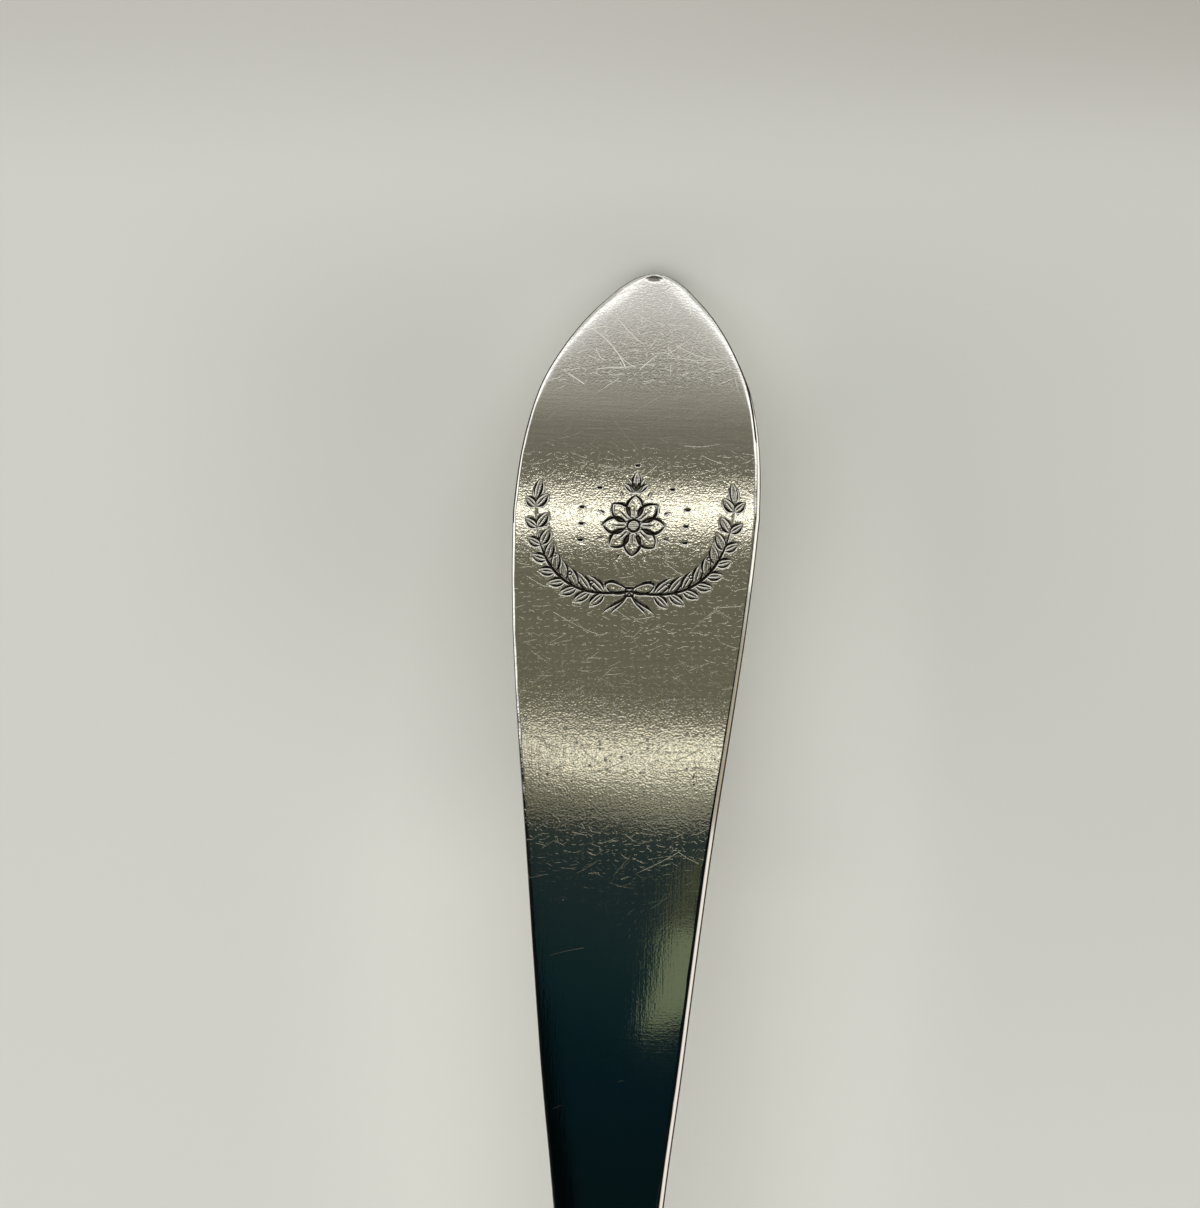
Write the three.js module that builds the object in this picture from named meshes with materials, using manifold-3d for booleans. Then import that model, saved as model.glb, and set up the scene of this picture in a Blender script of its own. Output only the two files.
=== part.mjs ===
// A dessert spoon forged from one bar of silver, in millimetres, +Z up.
// It lies bowl up: the bowl's tip is at -X, the handle's tip at +X, and both touch the table at z = 0.
import * as THREE from "three";
import Module from "manifold-3d";

// Driving dimensions of the bowl.
const bowlLength = 62;          // tip of the bowl to the end of its hollow
const bowlWidth = 39;
const bowlDepth = 9.2;          // from the rim down to the lowest point inside
const bowlWall = 0.95;          // metal under the lowest point
const rimWidth = 1.1;           // flat lip round the hollow
const rimSide = 0.95;           // height of the lip's outer edge
const rimRound = 0.32;
const lipBlend = 0.5;           // rounding between the lip and the hollow
const heelBlend = 1.6;          // rounding between the bowl's back and the stem's underside
const heelHalfWidth = 6.4;      // spread of the thick metal behind the bowl's shoulders

// Driving dimensions of the handle.
const handleLength = 118.7;     // end of the hollow to the handle's tip, along the metal
const handleWidth = 20.1;
const terminalReach = 21.7;     // handle's tip to its widest place
const shoulderStart = 58.4;     // where the bowl's outline leaves the egg
const shoulderEnd = 66.4;       // where the stem's outline begins
const neckThickness = 3.3;
const frontRound = 0.3;         // edge rounding of the front face
const backRound = 0.45;         // edge rounding of the back face
const crownHeight = 0.14;       // swell of the narrow stem's front face

// Driving dimensions of the drop on the bowl's back.
const dropLength = 14;          // from the end of the hollow towards the bowl's middle
const dropTail = 9;             // from the end of the hollow into the stem
const dropWidth = 8.2;
const dropTailWidth = 3.8;
const dropStep = 0.75;
const dropRound = 0.5;
const dropRoot = 0.6;           // how far the drop sinks into the bowl's wall
const dropDive = 1.2;           // how far its tail dives into the stem

// Height of the rim above the table at the bowl's tip, and the depth worn off the resting places.
const tipRimHeight = 10.2;
const wornDepth = 0.1;

// Shares: pure numbers that shape the curves.
const eggShare = 0.15;
const dishPowerShare = 2.35;
const deepShiftShare = 0.06;
const backEdgeShare = 0.84;
// Half-width of the terminal against the square root of the way from the tip to the widest place.
const terminalShares = [[0, 0], [0.06, 0.085], [0.12, 0.152], [0.19, 0.222], [0.26, 0.303], [0.32, 0.372],
  [0.39, 0.466], [0.48, 0.588], [0.595, 0.736], [0.69, 0.850], [0.785, 0.926], [0.865, 0.969],
  [0.935, 0.990], [1, 1]];
// Width from the terminal's widest place (0) to the neck (1).
const stemShares = [[0, 1], [0.045, 0.980], [0.10, 0.943], [0.147, 0.902], [0.195, 0.855], [0.29, 0.754],
  [0.40, 0.650], [0.495, 0.561], [0.58, 0.470], [0.663, 0.394], [0.755, 0.333], [0.84, 0.291],
  [0.914, 0.267], [1, 0.258]];
// Thickness: share of the handle's length from the end of the hollow, share of the neck's thickness.
const thickShares = [[-0.14, 0.96], [0, 1], [0.10, 0.96], [0.28, 0.80], [0.46, 0.68], [0.62, 0.60],
  [0.80, 0.56], [1, 0.54]];
// Slope of the front face in degrees: share of the whole length from the bowl's tip, angle.
const slopeShares = [[0, -1.2], [0.16, 0], [0.27, 2.3], [0.34, 7.1], [0.40, 10.2], [0.47, 8.0],
  [0.58, 2.7], [0.68, -2.5], [0.76, -8.1], [0.83, -14.0], [0.90, -21.4], [0.96, -28.0], [1, -32.0]];
// Rows along the spoon: from share, to share, how many, and which end is crowded.
const rowShares = [[0, 0.035, 9, 2], [0.035, 0.29, 29, 1], [0.29, 0.385, 20, 1], [0.385, 0.80, 29, 1],
  [0.80, 0.965, 18, 1], [0.965, 1, 9, 0.5]];
// Columns from an edge inwards, as shares of the lip's width, then evenly to the middle.
const edgeShares = [0, 0.1, 0.32, 0.85, 1.5, 2.5];
const middleColumns = 9;

const bowlHalf = bowlLength / 2;
const wholeLength = bowlLength + handleLength;

// A smooth curve through pairs of place and value.
function curve(pairs, place) {
  const last = pairs.length - 1;
  if (place <= pairs[0][0]) return pairs[0][1];
  if (place >= pairs[last][0]) return pairs[last][1];
  let i = 0;
  while (place > pairs[i + 1][0]) i += 1;
  const rise = (k) => (pairs[k + 1][1] - pairs[k][1]) / (pairs[k + 1][0] - pairs[k][0]);
  const slope = (k) => {
    if (k === 0) return rise(0);
    if (k === last) return rise(last - 1);
    const before = pairs[k][0] - pairs[k - 1][0];
    const after = pairs[k + 1][0] - pairs[k][0];
    return (rise(k - 1) * after + rise(k) * before) / (before + after);
  };
  const step = pairs[i + 1][0] - pairs[i][0];
  const t = (place - pairs[i][0]) / step;
  const back = 1 - t;
  return (1 + 2 * t) * back * back * pairs[i][1] + t * back * back * step * slope(i)
    + t * t * (3 - 2 * t) * pairs[i + 1][1] - t * t * back * step * slope(i + 1);
}

const softStep = (t) => {
  const c = Math.min(1, Math.max(0, t));
  return c * c * (3 - 2 * c);
};

// The larger of two lengths, rounded over where they cross.
function softMax(a, b, blend) {
  const gap = a - b;
  if (gap >= blend) return a;
  if (gap <= -blend) return b;
  return b + (gap + blend) * (gap + blend) / (4 * blend);
}

// Outline of the bowl: an ellipse drawn into an egg, widest towards the stem.
const eggWidest = (Math.sqrt(1 + 8 * eggShare * eggShare) - 1) / (4 * eggShare);
const eggScale = bowlWidth / 2 / (Math.sqrt(1 - eggWidest * eggWidest) * (1 + eggShare * eggWidest));
const eggReach = (along) => eggScale * (1 + eggShare * (along - bowlHalf) / bowlHalf);
function eggHalf(along) {
  const c = (along - bowlHalf) / bowlHalf;
  return Math.sqrt(Math.max(0, 1 - c * c)) * eggReach(along);
}

// Outline of the handle, from its tip backwards.
function handleHalf(along) {
  const fromTip = Math.max(0, wholeLength - along);
  if (fromTip <= terminalReach) {
    return handleWidth / 2 * curve(terminalShares, Math.sqrt(fromTip / terminalReach));
  }
  const span = wholeLength - shoulderEnd - terminalReach;
  return handleWidth / 2 * curve(stemShares, (fromTip - terminalReach) / span);
}

// Half-width anywhere along the spoon; the shoulders are a single bent curve.
function half(along) {
  if (along <= shoulderStart) return eggHalf(along);
  if (along >= shoulderEnd) return handleHalf(along);
  const span = shoulderEnd - shoulderStart;
  const nudge = span / 1000;
  const t = (along - shoulderStart) / span;
  const back = 1 - t;
  const first = (eggHalf(shoulderStart) - eggHalf(shoulderStart - nudge)) / nudge;
  const second = (handleHalf(shoulderEnd + nudge) - handleHalf(shoulderEnd)) / nudge;
  return (1 + 2 * t) * back * back * eggHalf(shoulderStart) + t * back * back * span * first
    + t * t * (3 - 2 * t) * handleHalf(shoulderEnd) - t * t * back * span * second;
}

// Distance from a point on the face to the outline, near enough for rounding the edges.
function edgeDistance(along, across) {
  const nudge = wholeLength / 100000;
  const low = Math.max(0, along - nudge);
  const high = Math.min(wholeLength, along + nudge);
  const w = half(along);
  const turn = (half(high) ** 2 - half(low) ** 2) / (high - low) / 2;
  const scale = 2 * Math.sqrt(turn * turn + across * across);
  return scale > 0 ? Math.max(0, (w * w - across * across) / scale) : w;
}

const rounded = (distance, radius) => distance >= radius ? 0
  : radius - Math.sqrt(radius * radius - (radius - distance) ** 2);

// Depth of the hollow below the rim, for an egg set in from the outline by `inset`.
function dish(along, across, depth, inset) {
  const c = (along - bowlHalf) / (bowlHalf - inset);
  const reach = eggReach(along) - inset;
  const spread = Math.sqrt(c * c + (across / reach) ** 2);
  return depth * (1 - spread ** dishPowerShare) * (1 + deepShiftShare * c);
}

// Front face, measured up from the spine.
function front(along, across) {
  const hollow = softMax(dish(along, across, bowlDepth, rimWidth), 0, lipBlend);
  const onStem = softStep((along - shoulderEnd) / (terminalReach / 2));
  const w = Math.max(half(along), rimRound);
  const narrow = softStep(2 - 2 * w / (handleWidth / 2));
  const swell = crownHeight * onStem * narrow * (1 - (across / w) ** 2);
  const radius = rimRound + (frontRound - rimRound) * onStem;
  return swell - hollow - rounded(edgeDistance(along, across), radius);
}

// Back face before its edges are rounded, measured down from the spine.
function backDepth(along, across) {
  const w = Math.max(half(along), rimRound);
  const middle = neckThickness * curve(thickShares, (along - bowlLength) / handleLength);
  const stem = middle * (1 - (1 - backEdgeShare) * (across / w) ** 2);
  const spread = Math.max(0, 1 - (across / heelHalfWidth) ** 2);
  const fade = softStep((along - bowlHalf) / (bowlHalf - dropLength));
  const heel = rimSide + (middle - rimSide) * spread * spread * fade;
  const onStem = softStep((along - shoulderStart) / (shoulderEnd - shoulderStart));
  const under = heel + (stem - heel) * onStem;
  const bowl = rimSide + Math.max(0, dish(along, across, bowlDepth + bowlWall - rimSide, 0));
  return along > bowlLength ? softMax(rimSide, under, heelBlend) : softMax(bowl, under, heelBlend);
}

function back(along, across) {
  const onStem = softStep((along - shoulderEnd) / (terminalReach / 2));
  const radius = rimRound + (backRound - rimRound) * onStem;
  return -backDepth(along, across) + rounded(edgeDistance(along, across), radius);
}

// The spine is the middle line of the front face; it is followed by small steps of equal length.
const spineSteps = 1448;
const spineX = [0];
const spineZ = [tipRimHeight];
for (let i = 0; i < spineSteps; i += 1) {
  const angle = curve(slopeShares, (i + 0.5) / spineSteps) * Math.PI / 180;
  spineX.push(spineX[i] + Math.cos(angle) * wholeLength / spineSteps);
  spineZ.push(spineZ[i] + Math.sin(angle) * wholeLength / spineSteps);
}

function place(along, across, height) {
  const at = Math.min(spineSteps, Math.max(0, along / wholeLength * spineSteps));
  const i = Math.min(spineSteps - 1, Math.floor(at));
  const t = at - i;
  const angle = curve(slopeShares, along / wholeLength) * Math.PI / 180;
  return [spineX[i] + (spineX[i + 1] - spineX[i]) * t - Math.sin(angle) * height, across,
    spineZ[i] + (spineZ[i + 1] - spineZ[i]) * t + Math.cos(angle) * height];
}

// A closed solid between two faces over rows of columns; a row without width is one point on each face.
function slab(rows, columnsOf, upper, lower) {
  const points = [];
  const triangles = [];
  const ids = rows.map((along) => {
    const sheet = (face) => {
      let known = null;
      return columnsOf(along).map((across, j, all) => {
        if (all[all.length - 1] - all[0] > 0 || known === null) {
          points.push(...place(along, across, face(along, across)));
          known = points.length / 3 - 1;
        }
        return known;
      });
    };
    return { upper: sheet(upper), lower: sheet(lower) };
  });
  const quad = (a, b, c, d) => {
    for (const [p, q, r] of [[a, b, c], [a, c, d]]) {
      if (p !== q && q !== r && r !== p) triangles.push(p, q, r);
    }
  };
  for (let i = 0; i + 1 < ids.length; i += 1) {
    const here = ids[i];
    const next = ids[i + 1];
    const last = here.upper.length - 1;
    for (let j = 0; j < last; j += 1) {
      quad(here.upper[j], next.upper[j], next.upper[j + 1], here.upper[j + 1]);
      quad(here.lower[j], here.lower[j + 1], next.lower[j + 1], next.lower[j]);
    }
    quad(here.lower[0], next.lower[0], next.upper[0], here.upper[0]);
    quad(here.upper[last], next.upper[last], next.lower[last], here.lower[last]);
  }
  for (const [row, flip] of [[ids[0], false], [ids[ids.length - 1], true]]) {
    for (let j = 0; j + 1 < row.upper.length; j += 1) {
      const ring = [row.upper[j], row.upper[j + 1], row.lower[j + 1], row.lower[j]];
      if (flip) ring.reverse();
      if (row.upper[j] !== row.upper[j + 1]) quad(...ring);
    }
  }
  return { points, triangles };
}

// Even columns with a few close to both edges.
function columns(along) {
  const w = half(along);
  const squeeze = Math.min(1, w / (4 * rimWidth));
  const edge = edgeShares.map((share) => share * rimWidth * squeeze);
  const inner = w - edge[edge.length - 1];
  const left = edge.map((d) => -w + d);
  const middle = [];
  for (let k = 1; k < middleColumns + 1; k += 1) middle.push(inner * (2 * k / (middleColumns + 1) - 1));
  const list = [...left, ...middle, ...left.map((y) => -y).reverse()];
  return w > rimRound / 1000 ? list : list.map(() => 0);
}

const rows = [0];
for (const [from, to, count, power] of rowShares) {
  for (let i = 1; i <= count; i += 1) {
    const t = i / count;
    const eased = power < 1 ? 1 - (1 - t) ** (1 / power) : t ** power;
    rows.push(wholeLength * (from + (to - from) * eased));
  }
}
const forging = slab(rows, columns, front, back);

// The drop: a rounded tongue on the bowl's back where the stem's metal runs out.
const dropStart = bowlLength - dropLength;
const dropEnd = bowlLength + dropTail;
const dropSpan = dropEnd - dropStart;
function dropHalf(along) {
  const round = dropWidth * 0.62;
  const t = Math.min(1, Math.max(0, (along - dropStart) / round));
  const taper = dropWidth + (dropTailWidth - dropWidth) * softStep((along - dropStart) / dropSpan);
  return taper / 2 * Math.sqrt(Math.max(0, 1 - (1 - t) ** 2));
}
function dropEdge(along, across) {
  const w = dropHalf(along);
  const nudge = dropSpan / 10000;
  const high = along + nudge;
  const turn = (dropHalf(high) ** 2 - w ** 2) / nudge / 2;
  const scale = 2 * Math.sqrt(turn * turn + across * across);
  return scale > 0 ? Math.max(0, (w * w - across * across) / scale) : w;
}
const dropRows = [];
for (let i = 0; i <= 22; i += 1) dropRows.push(dropStart + dropSpan * (i / 22) ** 1.6);
const dropColumns = (along) => {
  const w = dropHalf(along);
  const shares = [-1, -0.93, -0.8, -0.5, 0, 0.5, 0.8, 0.93, 1];
  return shares.map((share) => (along > dropStart ? w * share : 0));
};
const dropSink = (along) => dropStep - (dropStep + dropDive) * softStep((along - bowlLength) / dropTail);
const drop = slab(dropRows, dropColumns,
  (along, across) => -backDepth(along, across) + dropRoot,
  (along, across) => -backDepth(along, across) - dropSink(along) + rounded(dropEdge(along, across), dropRound));

const wasm = await Module();
wasm.setup();
const { Manifold } = wasm;
function solid(shape) {
  return new Manifold(new wasm.Mesh({ numProp: 3, vertProperties: new Float32Array(shape.points),
    triVerts: new Uint32Array(shape.triangles) }));
}

// The two solids become one, and the resting places are worn flat at the table.
let spoon = solid(forging).add(solid(drop));
const bottom = spoon.boundingBox().min[2];
spoon = spoon.translate([0, 0, -bottom - wornDepth]).trimByPlane([0, 0, 1], 0);
const box = spoon.boundingBox();
spoon = spoon.translate([-(box.min[0] + box.max[0]) / 2, 0, 0]);

const mesh = spoon.getMesh();
const geometry = new THREE.BufferGeometry();
const positions = new Float32Array(mesh.numVert * 3);
for (let i = 0; i < mesh.numVert; i += 1) {
  for (let k = 0; k < 3; k += 1) positions[3 * i + k] = mesh.vertProperties[mesh.numProp * i + k];
}
geometry.setAttribute("position", new THREE.BufferAttribute(positions, 3));
geometry.setIndex(new THREE.BufferAttribute(new Uint32Array(mesh.triVerts), 1));
geometry.computeVertexNormals();

const silver = new THREE.MeshStandardMaterial({ color: 0xd9d6cd, metalness: 1, roughness: 0.22 });
const body = new THREE.Mesh(geometry, silver);
body.name = "spoon";
const part = new THREE.Group();
part.name = "dessert_spoon";
part.add(body);

export default part;
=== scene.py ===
# %% [markdown]
# # A silver dessert spoon
#
# The spoon is one forging. A silversmith draws a bar out under the hammer, spreads one end for the
# bowl and the other for the handle's end, sinks the bowl in a lead block, files the outline, bends
# the handle and stones and polishes everything. So the model is one surface as well: a front face
# and a back face over one outline, closed by a narrow filed edge. All lengths here are millimetres
# until the mesh is made, because a smith measures a spoon in them. Blender gets metres.

# %% Tools and the frame
import math

import bmesh
import bpy
import numpy as np
from mathutils import Matrix, Quaternion, Vector


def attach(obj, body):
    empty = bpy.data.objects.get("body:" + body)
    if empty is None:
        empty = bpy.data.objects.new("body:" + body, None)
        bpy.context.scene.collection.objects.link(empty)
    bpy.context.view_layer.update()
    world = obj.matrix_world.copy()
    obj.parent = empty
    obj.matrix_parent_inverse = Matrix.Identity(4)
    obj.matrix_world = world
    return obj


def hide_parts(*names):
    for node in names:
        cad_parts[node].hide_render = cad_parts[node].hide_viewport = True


MM = 0.001
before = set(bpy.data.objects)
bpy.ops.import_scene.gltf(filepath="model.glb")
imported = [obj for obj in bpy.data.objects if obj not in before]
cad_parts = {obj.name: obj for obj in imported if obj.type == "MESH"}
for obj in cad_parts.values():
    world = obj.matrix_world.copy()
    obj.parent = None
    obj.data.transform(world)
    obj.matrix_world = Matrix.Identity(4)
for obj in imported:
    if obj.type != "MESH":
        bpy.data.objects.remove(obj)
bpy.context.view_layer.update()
print("nodes in the frame:", len(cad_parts))

# %% [markdown]
# ## The outline
#
# From above, the bowl is an egg whose wide end is towards the stem, and the handle grows from a
# narrow neck to its widest place, then closes to a blunt point. Blender's Bezier curves could draw
# that, but a curve through a few filed sizes can be read at any place, which the mesh needs later.
# The way along the spoon is measured on the metal from the bowl's tip, so bending the handle
# doesn't change the outline.

# %% The sizes
BOWL_LENGTH, BOWL_WIDTH, BOWL_DEPTH = 62.0, 39.0, 9.2
BOWL_WALL, RIM_WIDTH, RIM_SIDE, RIM_ROUND, LIP_BLEND = 0.95, 1.1, 0.95, 0.32, 0.5
HANDLE_LENGTH, HANDLE_WIDTH, TERMINAL_REACH = 118.7, 20.1, 21.7
SHOULDER_START, SHOULDER_END = 58.4, 66.4
NECK_THICKNESS, FRONT_ROUND, BACK_ROUND, CROWN = 3.3, 0.08, 0.45, 0.14
HEEL_BLEND, HEEL_HALF = 1.6, 6.4
DROP_LENGTH, DROP_TAIL, DROP_WIDTH, DROP_TAIL_WIDTH, DROP_STEP = 14.0, 9.0, 8.2, 3.8, 0.75
TIP_RIM_HEIGHT, WORN = 10.2, 0.1
WHOLE, BOWL_HALF = BOWL_LENGTH + HANDLE_LENGTH, BOWL_LENGTH / 2
WIDEST_AT = WHOLE - TERMINAL_REACH
EGG, DISH_POWER, DEEP_SHIFT, BACK_EDGE = 0.15, 2.35, 0.06, 0.84
EDGE_LEAN = 0.12
BEVEL_WIDTH, BEVEL_SLOPE = 0.26, 0.56

# Half-width near the handle's tip, against the square root of the way to its widest place.
TERMINAL = [(0, 0), (0.06, 0.085), (0.12, 0.152), (0.19, 0.222), (0.26, 0.303), (0.32, 0.372),
            (0.39, 0.466), (0.48, 0.588), (0.595, 0.736), (0.69, 0.850), (0.785, 0.926), (0.865, 0.969),
            (0.935, 0.990), (1, 1)]
# Width from the widest place (0) to the neck (1).
STEM = [(0, 1), (0.045, 0.980), (0.10, 0.943), (0.147, 0.902), (0.195, 0.855), (0.29, 0.754),
        (0.40, 0.650), (0.495, 0.561), (0.58, 0.470), (0.663, 0.394), (0.755, 0.333),
        (0.84, 0.291), (0.914, 0.267), (1, 0.258)]
# Thickness of the handle from the end of the hollow (0) to its tip (1), against the neck's.
THICK = [(-0.14, 0.96), (0, 1), (0.10, 0.96), (0.28, 0.80), (0.46, 0.68), (0.62, 0.60),
         (0.80, 0.56), (1, 0.54)]
# Slope of the front face in degrees, from the bowl's tip (0) to the handle's (1).
SLOPE = [(0, -1.2), (0.16, 0), (0.27, 2.3), (0.34, 7.1), (0.40, 10.2), (0.47, 8.0), (0.58, 2.7),
         (0.68, -2.5), (0.76, -8.1), (0.83, -14.0), (0.90, -21.4), (0.96, -28.0), (1, -32.0)]


# %% Curves through filed sizes
def curve(pairs, place):
    """A smooth curve through pairs of place and value, read at many places."""
    known, value = np.array(pairs, float).T
    place = np.clip(np.asarray(place, float), known[0], known[-1])
    gap, rise = np.diff(known), np.diff(value) / np.diff(known)
    slope = np.concatenate([rise[:1], (rise[:-1] * gap[1:] + rise[1:] * gap[:-1]) / (gap[:-1] + gap[1:]),
                            rise[-1:]])
    i = np.clip(np.searchsorted(known, place, side="right") - 1, 0, len(gap) - 1)
    t = (place - known[i]) / gap[i]
    b = 1 - t
    return ((1 + 2 * t) * b * b * value[i] + t * b * b * gap[i] * slope[i]
            + t * t * (3 - 2 * t) * value[i + 1] - t * t * b * gap[i] * slope[i + 1])


def soft_step(t):
    """0 before 0, 1 after 1, and a smooth rise between."""
    t = np.clip(t, 0, 1)
    return t * t * (3 - 2 * t)


def soft_max(a, b, blend):
    """The larger of two lengths, rounded over where they cross."""
    gap = np.clip(a - b, -blend, blend)
    return np.where(a - b > blend, a, np.where(b - a > blend, b, b + (gap + blend) ** 2 / (4 * blend)))


# %% Half-widths
EGG_WIDEST = (math.sqrt(1 + 8 * EGG * EGG) - 1) / (4 * EGG)
EGG_SCALE = BOWL_WIDTH / 2 / (math.sqrt(1 - EGG_WIDEST ** 2) * (1 + EGG * EGG_WIDEST))


def egg_reach(along):
    """Half-width the bowl would have if it didn't close towards its ends."""
    return EGG_SCALE * (1 + EGG * (along - BOWL_HALF) / BOWL_HALF)


def egg_half(along):
    """Half-width of the bowl."""
    return np.sqrt(np.maximum(0, 1 - ((along - BOWL_HALF) / BOWL_HALF) ** 2)) * egg_reach(along)


def handle_half(along):
    """Half-width of the handle."""
    left = np.maximum(0, WHOLE - along)
    tip = curve(TERMINAL, np.sqrt(np.minimum(1, left / TERMINAL_REACH)))
    stem = curve(STEM, (left - TERMINAL_REACH) / (WHOLE - SHOULDER_END - TERMINAL_REACH))
    return HANDLE_WIDTH / 2 * np.where(left <= TERMINAL_REACH, tip, stem)


def half_width(along):
    """Half-width anywhere; the shoulders between bowl and stem are one filed bend."""
    along = np.asarray(along, float)
    span = SHOULDER_END - SHOULDER_START
    nudge = span / 1000
    t = np.clip((along - SHOULDER_START) / span, 0, 1)
    b = 1 - t
    w0, w1 = egg_half(SHOULDER_START), handle_half(SHOULDER_END)
    m0 = (w0 - egg_half(SHOULDER_START - nudge)) / nudge
    m1 = (handle_half(SHOULDER_END + nudge) - w1) / nudge
    shoulder = ((1 + 2 * t) * b * b * w0 + t * b * b * span * m0
                + t * t * (3 - 2 * t) * w1 - t * t * b * span * m1)
    return np.where(along <= SHOULDER_START, egg_half(along),
                    np.where(along >= SHOULDER_END, handle_half(along), shoulder))


def edge_distance(half, along, across, nudge=0.002):
    """How far a point of the face is from the outline, near enough for rounding the edge."""
    low, high = np.maximum(0, along - nudge), np.minimum(WHOLE, along + nudge)
    turn = (half(high) ** 2 - half(low) ** 2) / (high - low) / 2
    scale = 2 * np.sqrt(turn ** 2 + across ** 2)
    return np.maximum(0, (half(along) ** 2 - across ** 2) / np.maximum(scale, 1e-9))


def rounded(distance, radius):
    """How far a rounded edge has fallen away at that distance from the outline."""
    fallen = radius - np.sqrt(np.maximum(0, radius ** 2 - (radius - distance) ** 2))
    return np.where(distance >= radius, 0, fallen)


print("widths in mm: bowl", round(2 * float(egg_half(BOWL_HALF * (1 + EGG_WIDEST))), 2),
      "neck", round(2 * float(half_width(SHOULDER_END)), 2),
      "handle", round(2 * float(half_width(WIDEST_AT)), 2))


# %% [markdown]
# ## The two faces
#
# The bowl's hollow is sunk, so it is a smooth dish that is steep near the rim and almost flat in
# the middle. Its lip stays as a narrow flat. The stem runs out under the bowl as a heel, and on the
# bowl's back lies the drop, a rounded tongue that strengthens the joint of bowl and stem. Sculpting or
# joining several meshes would leave seams in a surface that mirrors everything, so each face is a
# height over the outline instead, measured from the spine, which is the middle line of the front.

# %% The hollow and the front face
def dish(along, across, depth, inset):
    """Depth of the hollow for an egg set in from the outline."""
    c = (along - BOWL_HALF) / (BOWL_HALF - inset)
    spread = np.sqrt(c ** 2 + (across / (egg_reach(along) - inset)) ** 2)
    return depth * (1 - spread ** DISH_POWER) * (1 + DEEP_SHIFT * c)


def on_stem(along):
    """0 on the bowl, 1 on the handle, and a smooth rise along the stem."""
    return soft_step((along - SHOULDER_END) / (TERMINAL_REACH / 2))


def front(along, across):
    """Height of the front face above the spine."""
    hollow = soft_max(dish(along, across, BOWL_DEPTH, RIM_WIDTH), 0 * along, LIP_BLEND)
    w = np.maximum(half_width(along), RIM_ROUND)
    narrow = soft_step(2 - 2 * w / (HANDLE_WIDTH / 2))
    swell = CROWN * on_stem(along) * narrow * (1 - (across / w) ** 2)
    radius = RIM_ROUND + (FRONT_ROUND - RIM_ROUND) * on_stem(along)
    return swell - hollow - rounded(edge_distance(half_width, along, across), radius)


# %% The back face, with its heel and its drop
def back_depth(along, across):
    """Depth of the back face under the spine, before its edge is rounded."""
    w = np.maximum(half_width(along), RIM_ROUND)
    middle = NECK_THICKNESS * curve(THICK, (along - BOWL_LENGTH) / HANDLE_LENGTH)
    stem = middle * (1 - (1 - BACK_EDGE) * (across / w) ** 2)
    spread = np.maximum(0, 1 - (across / HEEL_HALF) ** 2)
    fade = soft_step((along - BOWL_HALF) / (BOWL_HALF - DROP_LENGTH))
    heel = RIM_SIDE + (middle - RIM_SIDE) * spread ** 2 * fade
    t = soft_step((along - SHOULDER_START) / (SHOULDER_END - SHOULDER_START))
    bowl = RIM_SIDE + np.maximum(0, dish(along, across, BOWL_DEPTH + BOWL_WALL - RIM_SIDE, 0))
    return soft_max(np.where(along > BOWL_LENGTH, RIM_SIDE, bowl), heel + (stem - heel) * t, HEEL_BLEND)


def drop_half(along):
    """Half-width of the drop, a tongue with a round end that narrows into the stem."""
    start, span = BOWL_LENGTH - DROP_LENGTH, DROP_LENGTH + DROP_TAIL
    t = np.clip((along - start) / (DROP_WIDTH * 0.62), 0, 1)
    taper = DROP_WIDTH + (DROP_TAIL_WIDTH - DROP_WIDTH) * soft_step((along - start) / span)
    inside = (along > start) & (along < start + span)
    return np.where(inside, taper / 2 * np.sqrt(np.maximum(0, 1 - (1 - t) ** 2)), 0)


def drop(along, across):
    """How far the drop stands out of the back; use has softened its step."""
    near = edge_distance(drop_half, along, across)
    near = np.where(drop_half(along) > np.abs(across), near, 0)
    sunk = 1 - soft_step((along - BOWL_LENGTH) / (DROP_TAIL * 0.8))
    return DROP_STEP * sunk * soft_step(near / 0.9 + 0.02) * (near > 0)


def back(along, across):
    """Height of the back face above the spine."""
    radius = RIM_ROUND + (BACK_ROUND - RIM_ROUND) * on_stem(along)
    edge = rounded(edge_distance(half_width, along, across), radius)
    return -back_depth(along, across) - drop(along, across) + edge


def metal_at(along):
    """How thick the metal is at a place on the middle line."""
    along, middle = np.array([along]), np.zeros(1)
    return round(float((front(along, middle) - back(along, middle))[0]), 2)


print("metal in mm: under the bowl", metal_at(BOWL_HALF), "at the widest place", metal_at(WIDEST_AT))


# %% Bending the flat spoon to its side view
STEPS = 1448
turns = np.radians(curve(SLOPE, (np.arange(STEPS) + 0.5) / STEPS))
spine_x = np.concatenate([[0], np.cumsum(np.cos(turns))]) * WHOLE / STEPS
spine_z = np.concatenate([[0], np.cumsum(np.sin(turns))]) * WHOLE / STEPS + TIP_RIM_HEIGHT
spine_at = np.linspace(0, WHOLE, STEPS + 1)


def bend(along, across, height):
    """Points in space for places on the flat spoon."""
    turn = np.radians(curve(SLOPE, along / WHOLE))
    return np.stack([np.interp(along, spine_at, spine_x) - np.sin(turn) * height, across + 0 * along,
                     np.interp(along, spine_at, spine_z) + np.cos(turn) * height], axis=-1)


print("spoon along the metal:", WHOLE, "mm; as it lies:", round(float(spine_x[-1]), 2), "mm")

# %% [markdown]
# ## The engraved ornament
#
# The wide end carries a small engraving, cut by hand with a V-shaped graver. Each line swells and
# thins as the graver is pushed deeper and lifted out, and shades are rows of fine parallel cuts.
# The design here is a plain flower with eight petals between two leafy sprays tied below, the kind
# of ornament a hundred workshops cut. A painted texture would stay flat when the light moves, so
# each line is kept as points with a width at each point, and the cut's depth follows from the
# width: the groove is real metal that catches the light.

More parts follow.
